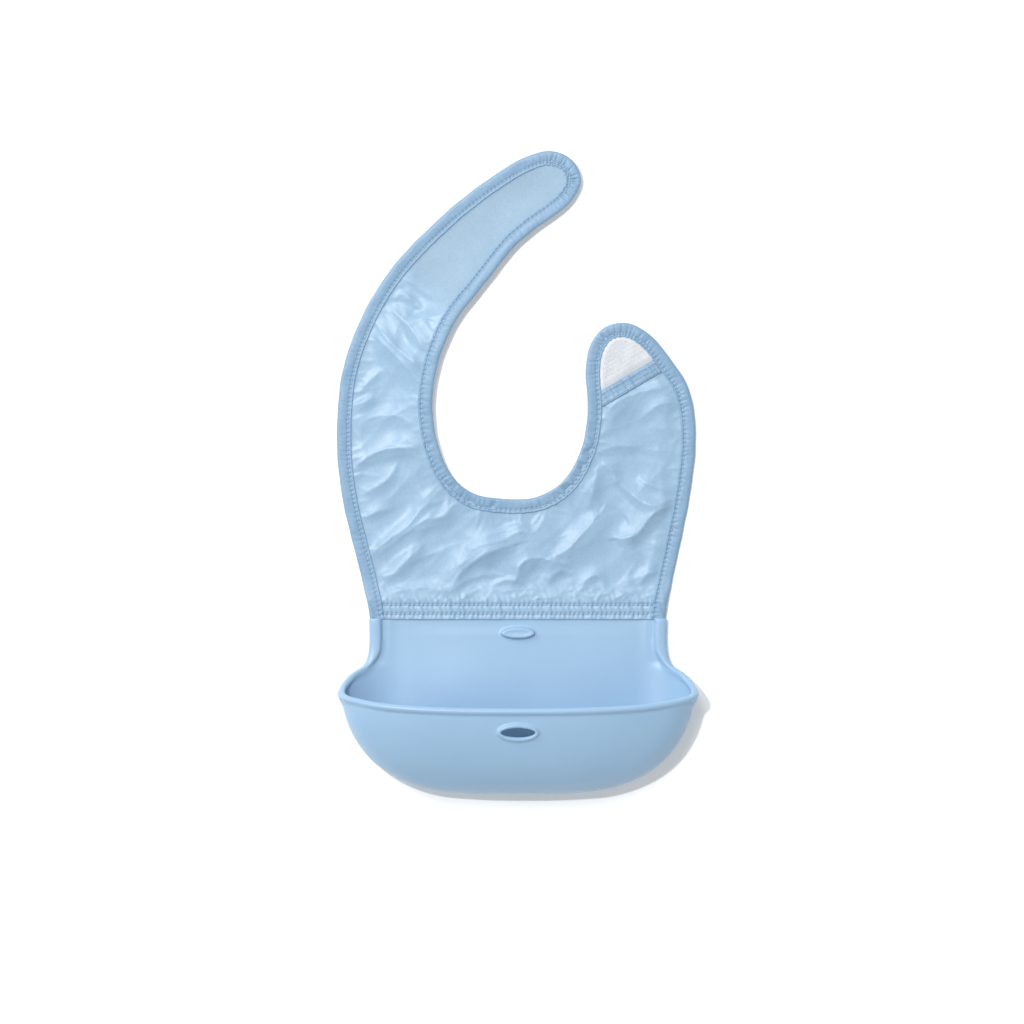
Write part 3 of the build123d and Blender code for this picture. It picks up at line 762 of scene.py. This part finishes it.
# ------------------------------------------------------------------ binding tape
def tape_profile():
    """Across the tape: inset from the edge, which surface it follows (1 front, 0 back), and height."""
    front = [(8.9, 0.0), (8.8, 0.5), (8.45, 0.76), (7.7, 0.72), (7.1, 0.50), (6.7, 0.28), (6.3, 0.46),
             (5.8, 0.64), (4.8, 0.72), (3.4, 0.80), (2.0, 0.80), (1.0, 0.66), (0.35, 0.34), (0.05, -0.15)]
    back = [(0.1, -0.55), (0.7, -0.85), (2.2, -0.98), (4.6, -1.0), (6.7, -0.95), (8.3, -1.0), (8.9, -0.8)]
    return front, back


# Places where the tape is gathered more than its curve asks for: where, how far, how much.
PLEATED = [((-34, -8), 11, 0.8), ((30, -2), 13, 0.9), ((41, 20), 8, 0.4), ((36, 172), 10, 0.5),
           ((46, 82), 12, 0.5), ((-100, -45), 9, 0.35), ((100, -40), 12, 0.35), ((-30, 102), 10, 0.3)]


# Folds stitched into the neck's tape: where, how deep, how slanted, how wide.
TUCKS = [((42.9, 13.8), 0.9, 0.5, 1.6), ((36.8, 4.0), 1.0, -0.3, 1.9), ((30.0, -8.3), 1.0, 0.45, 1.9),
         ((-41.0, -7.0), 0.7, -0.4, 1.5), ((-26.0, -12.0), 0.9, 0.5, 1.8), ((-15.0, -15.0), 0.8, -0.35, 1.5),
         ((22.0, -9.0), 0.6, 0.3, 1.3), ((-49.0, 18.0), 0.5, 0.4, 1.3)]


GATHER = 17              # how strongly the tape gathers round a curve
TIGHT = np.clip(CURVATURE * GATHER, 0, 1.3)
for (x, y), reach, amount in PLEATED:
    TIGHT = TIGHT + amount * np.exp(-((EDGE_U - EDGE_U[edge_index(x, y)]) / reach) ** 2)
# The sewn line wanders sideways where the tape is gathered.
WANDER = 0.06 * waves_1d(EDGE_U, [9, 21], 24)
WANDER += 0.34 * np.clip(CURVATURE * GATHER, 0, 1.0) * waves_1d(EDGE_U, [4.2, 6.5], 23)


def tape_mesh(first, last):
    """The tape between two samples of the edge."""
    index = np.arange(first, last + 1)
    u = EDGE_U[index]
    front, back = tape_profile()
    tight = TIGHT[index]
    rng = np.random.default_rng(21)
    tucks = []
    at = u[0]
    while at < u[-1]:
        depth = 0.04 + 0.62 * float(np.interp(at, u, tight)) * rng.uniform(0.4, 1.2)
        tucks.append((at, depth, rng.uniform(-0.35, 0.35), rng.uniform(0.5, 1.0)))
        at += rng.uniform(2.2, 6.0)
    for (x, y), depth, slant, wide in TUCKS:
        tucks.append((EDGE_U[edge_index(x, y)], depth, slant, wide))
    gathers = np.zeros(len(u))
    at = u[0]
    while at < u[-1]:
        depth = 0.36 * min(1.3, float(np.interp(at, u, tight))) * rng.uniform(0.5, 1.2)
        gathers += depth * np.exp(-((u - at) / rng.uniform(0.35, 0.6)) ** 2)
        at += rng.uniform(1.6, 3.2)
    roll = waves_1d(u, [17, 29, 43], 22)
    hole = np.cos(2 * np.pi * (u / PITCH))
    columns = []
    for side, profile in (("front", front), ("back", back)):
        for s, h in profile:
            xy = EDGE_P[index] + EDGE_N[index] * s
            z = fabric_top(xy)
            swell = math.exp(-((s - 3.6) / 2.2) ** 2)
            tuck = np.zeros(len(u))
            for at, depth, slant, wide in tucks:
                tuck += depth * np.exp(-((u - at - slant * (s - 6)) / wide) ** 2)
            row = math.exp(-((s - STITCH_INSET) / 0.7) ** 2)
            if side == "front":
                z = z + h - tuck * float(smooth(0.5, 5.0, s)) * (1 - float(smooth(7.5, 8.5, s)))
                z += swell * 0.14 * roll - row * 0.62 * np.clip(hole, 0, 1) ** 2
                z -= gathers * math.exp(-((s - 7.0) / 1.6) ** 2) * (1 - float(smooth(7.8, 8.6, s)))
            else:
                z = np.maximum(z + h, 0.06)
            wob = 0.10 * roll * (1 if s < 1.5 else 0.3)
            if side == "front":
                wob = wob + WANDER[index] * float(smooth(5.6, 6.7, s))
            xy = xy + EDGE_N[index] * wob[:, None]
            columns.append(np.column_stack([xy, z]))
    return np.stack(columns, axis=1)


def grid_faces(rows, cols, close=False):
    faces = []
    for i in range(rows - 1):
        for j in range(cols if close else cols - 1):
            a, b = i * cols + j, i * cols + (j + 1) % cols
            faces.append((a, b, b + cols, a + cols))
    return faces


def turned(faces):
    """The same faces, seen from their other side."""
    return [tuple(reversed(f)) for f in faces]


def edge_runs():
    """Runs of the edge in each zone: (zone, first sample, last sample)."""
    zones = zone_of(EDGE_P + EDGE_N * 4)
    first, stop = np.where(EDGE_P[:, 1] > HEM_Y - 1.4)[0][[0, -1]]
    runs = []
    for i in range(first + 1, stop + 1):
        if zones[i] != zones[i - 1]:
            runs.append((int(zones[i - 1]), first, i))
            first = i
    runs.append((int(zones[stop]), first, stop))
    return runs


RUNS = edge_runs()
FRONT_COLUMN = 9         # a column of the tape that lies on its front
whole = tape_mesh(RUNS[0][1], RUNS[-1][2])
cols = whole.shape[1]
whole_points = whole.reshape(-1, 3)
whole_faces = np.array(grid_faces(whole.shape[0], cols, close=True))
whole_normals = vertex_normals(whole_points, whole_faces)
if whole_normals.reshape(-1, cols, 3)[:, FRONT_COLUMN, 2].mean() < 0:
    whole_faces = whole_faces[:, ::-1]
    whole_normals = -whole_normals
TAPE_NODES = [["hem_binding_left", "hem_binding_right"], ["chest_binding_left", "chest_binding_neck"],
              ["strap_binding_outer", "strap_binding_neck"], ["strap_end_binding"]]
row = np.arange(len(whole_faces)) // cols + RUNS[0][1]
for zone, name in enumerate(ZONES):
    pick = np.zeros(len(whole_faces), bool)
    for z, first, last in RUNS:
        if z == zone:
            pick |= (row >= first) & (row < last)
    p, f, n = take(whole_points, whole_faces, whole_normals, pick)
    obj = new_object(f"binding_{name}", p, f, TAPE, n)
    attach(obj, zone)
    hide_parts(*TAPE_NODES[zone])


# ------------------------------------------------------------------ stitches
def stitch_shape():
    """One stitch along X: a slim bowed capsule, 8 sided."""
    rings = [(-1.05, 0.10, -0.22), (-0.85, 0.20, -0.06), (-0.4, 0.25, 0.06), (0.0, 0.26, 0.10),
             (0.4, 0.25, 0.06), (0.85, 0.20, -0.06), (1.05, 0.10, -0.22)]
    sides = 8
    pts = []
    for x, r, z in rings:
        for k in range(sides):
            a = 2 * math.pi * k / sides
            pts.append((x, r * 1.15 * math.cos(a), z + r * math.sin(a)))
    faces = turned(grid_faces(len(rings), sides, close=True))
    faces.append(tuple(range(sides)))
    faces.append(tuple(reversed(range(len(pts) - sides, len(pts)))))
    return np.array(pts), faces


STITCH, STITCH_FACES = stitch_shape()


def stitch_row(places, directions, heights, seed):
    """Points and faces of stitches at the places given, lying along the directions."""
    rng = np.random.default_rng(seed)
    points, faces = [], []
    for (x, y), (dx, dy), z in zip(places, directions, heights):
        turn = rng.uniform(-0.09, 0.09)
        c, s = dx * math.cos(turn) - dy * math.sin(turn), dx * math.sin(turn) + dy * math.cos(turn)
        size = rng.uniform(0.93, 1.05)
        base = sum(len(p) for p in points)
        p = STITCH * (size, 1.0, rng.uniform(0.9, 1.1))
        points.append(np.column_stack([x + p[:, 0] * c - p[:, 1] * s, y + p[:, 0] * s + p[:, 1] * c,
                                       z + p[:, 2]]))
        faces += [tuple(base + i for i in f) for f in STITCH_FACES]
    return points, faces


def join_rows(rows):
    """Several rows as one mesh's points and faces."""
    points, faces = [], []
    for p, f in rows:
        base = sum(len(q) for q in points)
        points += p
        faces += [tuple(base + i for i in q) for q in f]
    return np.concatenate(points), faces


def binding_rows(zone):
    """The rows of stitches on the binding in one zone."""
    rows = []
    for z, first, last in RUNS:
        if z != zone:
            continue
        u = np.arange(math.ceil(EDGE_U[first] / PITCH) + 0.5, EDGE_U[last] / PITCH) * PITCH
        k = np.clip(np.searchsorted(EDGE_U, u), first, last)
        xy = EDGE_P[k] + EDGE_N[k] * (STITCH_INSET + WANDER[k])[:, None]
        rows.append(stitch_row(xy, EDGE_T[k], fabric_top(xy) + 0.36, 31 + zone))
    return rows


def hem_rows():
    """The two rows of stitches on the hem, between the bindings."""
    rows = []
    for y in HEM_ROWS:
        x = np.arange(-HEM_HALF, HEM_HALF + 0.5, PITCH)
        xy = np.column_stack([x, np.full(len(x), y) + RNG.uniform(-0.06, 0.06, len(x))])
        _, inset = nearest_on_edge(xy)
        xy = xy[inset > BINDING + 1.0]
        rows.append(stitch_row(xy, [(1, 0)] * len(xy), fabric_top(xy) + 0.16, 41))
    return rows


THREAD_NODES = [["hem_thread_upper", "hem_thread_lower"], ["chest_thread_left", "chest_thread_neck"],
                ["strap_thread_outer", "strap_thread_neck"], ["strap_end_thread"]]
for zone, name in enumerate(ZONES):
    p, f = join_rows(binding_rows(zone) + (hem_rows() if zone == 0 else []))
    obj = new_object(f"stitches_{name}", p, f, THREAD)
    attach(obj, zone)
    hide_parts(*THREAD_NODES[zone])


# ------------------------------------------------------------------ hook patch, cover tape
TAPE_LEFT, TAPE_RIGHT, TAPE_WIDTH = np.array([43.0, 35.1]), np.array([96.0, 66.2]), 9.0
TAPE_ALONG = unit(TAPE_RIGHT - TAPE_LEFT)
TAPE_UP = np.array([-TAPE_ALONG[1], TAPE_ALONG[0]])


def patch_mesh():
    """The hook patch: it fills the tab's end above the cover tape and slips under the binding."""
    arc = (EDGE_P + EDGE_N * 8.0)[edge_index(42, 40):edge_index(96, 66):4]
    low = TAPE_LEFT + TAPE_UP * (TAPE_WIDTH - 1.2)
    arc = arc[(arc - low) @ TAPE_UP > 0]
    n = int(np.linalg.norm(arc[-1] - arc[0]) / 1.2)
    base = arc[-1] + (arc[0] - arc[-1]) * np.linspace(0, 1, n + 1)[1:-1, None]
    outline = np.concatenate([arc, base])
    lo, hi = outline.min(0), outline.max(0)
    grid = np.array([(x, y) for y in np.arange(lo[1], hi[1], 1.1) for x in np.arange(lo[0], hi[0], 1.1)])
    grid = grid[inside(outline, grid)]
    grid = np.array([g for g in grid if np.min(((outline - g) ** 2).sum(1)) > 0.5])
    return (*triangulate(np.concatenate([outline, grid]), ring(len(outline)), outline), outline)


patch_v, patch_f, patch_outline = patch_mesh()
edge_gap = np.sqrt(((patch_v[:, None] - patch_outline[None]) ** 2).sum(-1)).min(1)
patch_points = np.column_stack([patch_v, fabric_top(patch_v) + 0.7 * smooth(0.4, 2.4, edge_gap)])
obj = new_object("hook_pad", patch_points, patch_f, HOOK)
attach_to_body(obj, "chest")
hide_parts("hook_patch")


def hook_field():
    """Rows of small plastic hooks that stand on the pad."""
    points, faces = [], []
    lo, hi = patch_outline.min(0), patch_outline.max(0)
    step = 1.25
    for i in range(int(90 / step)):
        for j in range(int(70 / step)):
            p = TAPE_LEFT + TAPE_ALONG * (i * step + (0.5 * step if j % 2 else 0))
            p = p + TAPE_UP * (j * step + 8)
            if (p < lo).any() or (p > hi).any() or not inside(patch_outline, p[None])[0]:
                continue
            if np.min(((patch_outline - p) ** 2).sum(1)) < 2.5 ** 2:
                continue
            turn = 1 if j % 2 else -1
            z = fabric_top(p[None])[0] + 0.66
            path = [(0, 0), (0.02, 0.28), (0.12, 0.46), (0.30, 0.50), (0.40, 0.36)]
            base = len(points)
            for x, h in path:
                for dx, dy in ((-0.09, -0.09), (0.09, -0.09), (0.09, 0.09), (-0.09, 0.09)):
                    q = p + TAPE_UP * turn * (x + dx) + TAPE_ALONG * dy
                    points.append((q[0], q[1], z + h + (0.05 if dx > 0 else -0.02)))
            for r in range(len(path) - 1):
                for k in range(4):
                    a, b = base + r * 4 + k, base + r * 4 + (k + 1) % 4
                    faces.append((a, b, b + 4, a + 4))
            faces.append(tuple(base + (len(path) - 1) * 4 + k for k in range(4)))
    return np.array(points), faces


hp, hf = hook_field()
obj = new_object("hook_field", hp, hf, HOOK)
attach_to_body(obj, "chest")


def strip_mesh():
    """The cover tape: a folded strip with rounded long edges, lying over the fabric and the pad."""
    step, wide = 0.8, TAPE_WIDTH
    profile = [(0.0, -0.1), (0.05, 0.75), (0.35, 1.0), (wide * 0.22, 0.82), (wide * 0.5, 1.05),
               (wide * 0.78, 0.82), (wide - 0.35, 1.1), (wide - 0.05, 0.8), (wide, 0.3)]
    rows = np.array([[(*(TAPE_LEFT + TAPE_ALONG * d + TAPE_UP * w), h) for w, h in profile]
                     for d in np.arange(-6, 62, step)])
    _, inset = nearest_on_edge(rows.reshape(-1, 3)[:, :2])
    inset = inset.reshape(rows.shape[:2])
    ok = inset.min(1) > 4.4
    flat, inset = rows[ok].reshape(-1, 3), inset[ok].ravel()
    shown = smooth(8.3, 9.3, inset)
    pucker = waves_1d(np.repeat(np.arange(ok.sum()) * step, len(profile)), [2.8, 4.6, 7.0], 61)
    z = fabric_top(flat[:, :2]) + (flat[:, 2] + 0.13 * pucker * (flat[:, 2] > 0)) * shown - 0.2 * (1 - shown)
    return np.column_stack([flat[:, :2], z]), turned(grid_faces(ok.sum(), len(profile)))


sp, sf = strip_mesh()
obj = new_object("cover_tape", sp, sf, TAPE)
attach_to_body(obj, "chest")
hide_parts("hook_cover_tape")
rows = []
for start, high in ((1.6, 0.98), (4.2, 1.08), (TAPE_WIDTH - 2.0, 0.98)):
    d = np.arange(-4, 60, 2.3)
    xy = TAPE_LEFT + TAPE_ALONG * d[:, None] + TAPE_UP * start
    _, inset = nearest_on_edge(xy)
    xy = xy[inset > BINDING + 0.6]
    rows.append(stitch_row(xy, [TAPE_ALONG] * len(xy), fabric_top(xy) + high, 71))
p, f = join_rows(rows)
obj = new_object("stitches_cover_tape", p, f, THREAD)
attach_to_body(obj, "chest")
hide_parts("hook_tape_thread_upper", "hook_tape_thread_lower")


# ------------------------------------------------------------------ care label
def label_mesh():
    """A small blank flap that hangs from the hem at the back."""
    nx, ny = 18, 12
    pts = []
    for j in range(ny):
        for i in range(nx):
            x = -48 + 16 * (i / (nx - 1) - 0.5)
            y = -89.0 + 9 * j / (ny - 1)
            curl = 0.10 * math.sin(i * 0.9) * (1 - j / (ny - 1))
            pts.append((x, y, 0.12 + abs(curl)))
    return np.array(pts), turned(grid_faces(ny, nx))


lp, lf = label_mesh()
obj = new_object("care_label_flap", lp, lf, LABEL)
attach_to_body(obj, "catcher")
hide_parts("care_label")


# ------------------------------------------------------------------ silicone catcher
def outline_inset(p):
    """How far points lie in from the moulding's outermost sides at the same height of the page."""
    reach = np.abs(p[:, 0])
    bins = np.arange(-200.0, -79.0, 1.0)
    outer = np.array([reach[np.abs(p[:, 1] - b) < 1.0].max(initial=0.0) for b in bins])
    return np.interp(p[:, 1], bins, outer) - reach


def coordinates(mesh):
    co = np.empty(len(mesh.vertices) * 3)
    mesh.vertices.foreach_get("co", co)
    return co.reshape(-1, 3)


def apply_modifiers(obj):
    """Gives the object the mesh that its modifiers make of it."""
    dg = bpy.context.evaluated_depsgraph_get()
    done = bpy.data.meshes.new_from_object(obj.evaluated_get(dg), depsgraph=dg)
    obj.modifiers.clear()
    obj.data = done
    return done


def smoothing(obj, name, iterations):
    sm = obj.modifiers.new(name, "SMOOTH")
    sm.factor = 0.5
    sm.iterations = iterations
    return sm


def soften_walls(obj):
    """Rounds off where the pocket's side walls rise out of the panel, and evens out its front wall
    and end, but not around the slot."""
    p = coordinates(obj.data) / MM - SHIFT
    weight = smooth(60, 68, np.abs(p[:, 0])) * smooth(4.2, 5.6, outline_inset(p))
    weight *= smooth(-130, -124, p[:, 1]) * (1 - smooth(-106, -100, p[:, 1]))
    weight *= smooth(0.9, 1.5, p[:, 2]) * (1 - smooth(9, 12, p[:, 2]))
    from_slot = np.hypot(p[:, 0] / 15.5, (p[:, 1] + 158.5) / 8.0)
    front = (1 - smooth(-160, -155, p[:, 1])) * smooth(1.0, 1.35, from_slot)
    weight = np.maximum(weight, front)
    group = obj.vertex_groups.new(name="corner")
    for i in np.where(weight > 0.01)[0]:
        group.add([int(i)], float(weight[i]), "REPLACE")
    smoothing(obj, "corner", 60).vertex_group = "corner"
    done = apply_modifiers(obj)
    obj.vertex_groups.clear()
    return done


def silicone_piece():
    """The moulding: the CAD shape with its corners softened as moulded silicone has them."""
    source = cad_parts["silicone_catcher"]
    mesh = source.data.copy()
    obj = bpy.data.objects.new("silicone_moulding", mesh)
    bpy.context.scene.collection.objects.link(obj)
    mesh.transform(source.matrix_world)
    mesh.materials.clear()
    mesh.materials.append(SILICONE)
    bpy.context.view_layer.objects.active = obj
    re = obj.modifiers.new("voxels", "REMESH")
    re.mode = "VOXEL"
    re.voxel_size = 0.58 * MM
    re.use_smooth_shade = True
    smoothing(obj, "soften", 3)
    apply_modifiers(obj)
    done = soften_walls(obj)
    co = coordinates(done)
    p = co / MM - SHIFT
    reach, place = np.abs(p[:, 0]), p[:, 1]
    # The back panel swells a little where the soft sheet does not lie flat.
    flat = (1 - smooth(5.5, 12, p[:, 2])) * smooth(-196, -175, place) * (1 - smooth(-100, -92, place))
    flat *= 1 - smooth(62, 84, reach)
    swell = 2.3 * np.exp(-((p[:, 0] + 26) / 40) ** 2 - ((place + 132) / 28) ** 2)
    swell += 0.8 * np.exp(-((p[:, 0] - 48) / 30) ** 2 - ((place + 122) / 22) ** 2)
    co[:, 2] += swell * flat * MM
    # The side lips widen towards the seam with the fabric, and the mouth's corners stand out a little.
    inset = outline_inset(p)
    wider = 3.1 * smooth(-121, -108, place) * smooth(0.6, 3.4, inset) * (1 - smooth(4.5, 17, inset))
    ear = 2.4 * np.exp(-((place + 137.0) / 4.5) ** 2) * smooth(96, 104, reach) * smooth(10, 18, p[:, 2])
    co[:, 0] += np.sign(p[:, 0]) * (ear - wider) * MM
    # Painted shade: the floor below the slot is coloured darker, so that the slot looks dark from above.
    painted_shade = (1 - smooth(14, 26, p[:, 2])) * (1 - smooth(-154, -148, place)) * smooth(-176, -166, place)
    painted_shade *= 1 - smooth(14, 38, reach)
    share = done.attributes.new("painted_shade_share", "FLOAT", "POINT")
    share.data.foreach_set("value", painted_shade.astype(np.float32))
    done.vertices.foreach_set("co", co.ravel())
    done.update()
    done.shade_smooth()
    if not done.materials:
        done.materials.append(SILICONE)
    return obj


moulding = silicone_piece()
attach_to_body(moulding, "catcher")
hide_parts("silicone_catcher")


# ------------------------------------------------------------------ table, lights, camera
def floor_material():
    mat, tree, bsdf = material("table_white")
    vec = coords(tree)
    n = noise(tree, vec, 30.0, 3.0, 0.5)
    tree.links.new(ramp(tree, n, [(0.3, (0.90, 0.905, 0.91)), (0.7, (0.92, 0.925, 0.93))]),
                   bsdf.inputs["Base Color"])
    look(bsdf, Roughness=0.9, Specular_IOR_Level=0.1, Emission_Color=(1, 1, 1, 1), Emission_Strength=0.18)
    return mat


bm = bmesh.new()
bmesh.ops.create_grid(bm, x_segments=8, y_segments=8, size=3.0)
mesh = bpy.data.meshes.new("table_top")
bm.to_mesh(mesh)
bm.free()
table = bpy.data.objects.new("table_top", mesh)
mesh.materials.append(floor_material())
bpy.context.scene.collection.objects.link(table)


def area_light(name, place, size, power):
    """A round lamp that points at the origin."""
    light = bpy.data.lights.new(name, "AREA")
    light.shape = "DISK"
    light.size = size
    light.energy = power
    obj = bpy.data.objects.new(name, light)
    bpy.context.scene.collection.objects.link(obj)
    obj.location = place
    obj.rotation_mode = "QUATERNION"
    obj.rotation_quaternion = (-Vector(place)).to_track_quat("-Z", "Y")


area_light("key", (-1.32, 1.0, 4.0), 0.22, 88.0)
area_light("side", (-3.0, 2.2, 1.6), 1.4, 52.0)
area_light("overhead", (-0.7, 1.9, 3.7), 1.5, 45.0)
world = bpy.data.worlds.new("studio")
world.use_nodes = True
look(world.node_tree.nodes["Background"], Color=(1.0, 0.99, 0.97, 1), Strength=0.405)
bpy.context.scene.world = world
bpy.context.scene.view_settings.view_transform = "Standard"

DISTANCE = 5.0           # m from the camera down to the table
VIEW_WIDTH = 0.6277      # m across the picture at that distance
VIEW_CENTRE = np.array([-3.7, -24.2])
cam = bpy.data.cameras.new("camera")
cam.sensor_width = 36.0
cam.lens = 36.0 * DISTANCE / VIEW_WIDTH
cam_obj = bpy.data.objects.new("camera", cam)
bpy.context.scene.collection.objects.link(cam_obj)
cam_obj.location = (*((VIEW_CENTRE + SHIFT[:2]) * MM), DISTANCE)
cam_obj.rotation_euler = (0, 0, 0)
bpy.context.scene.camera = cam_obj
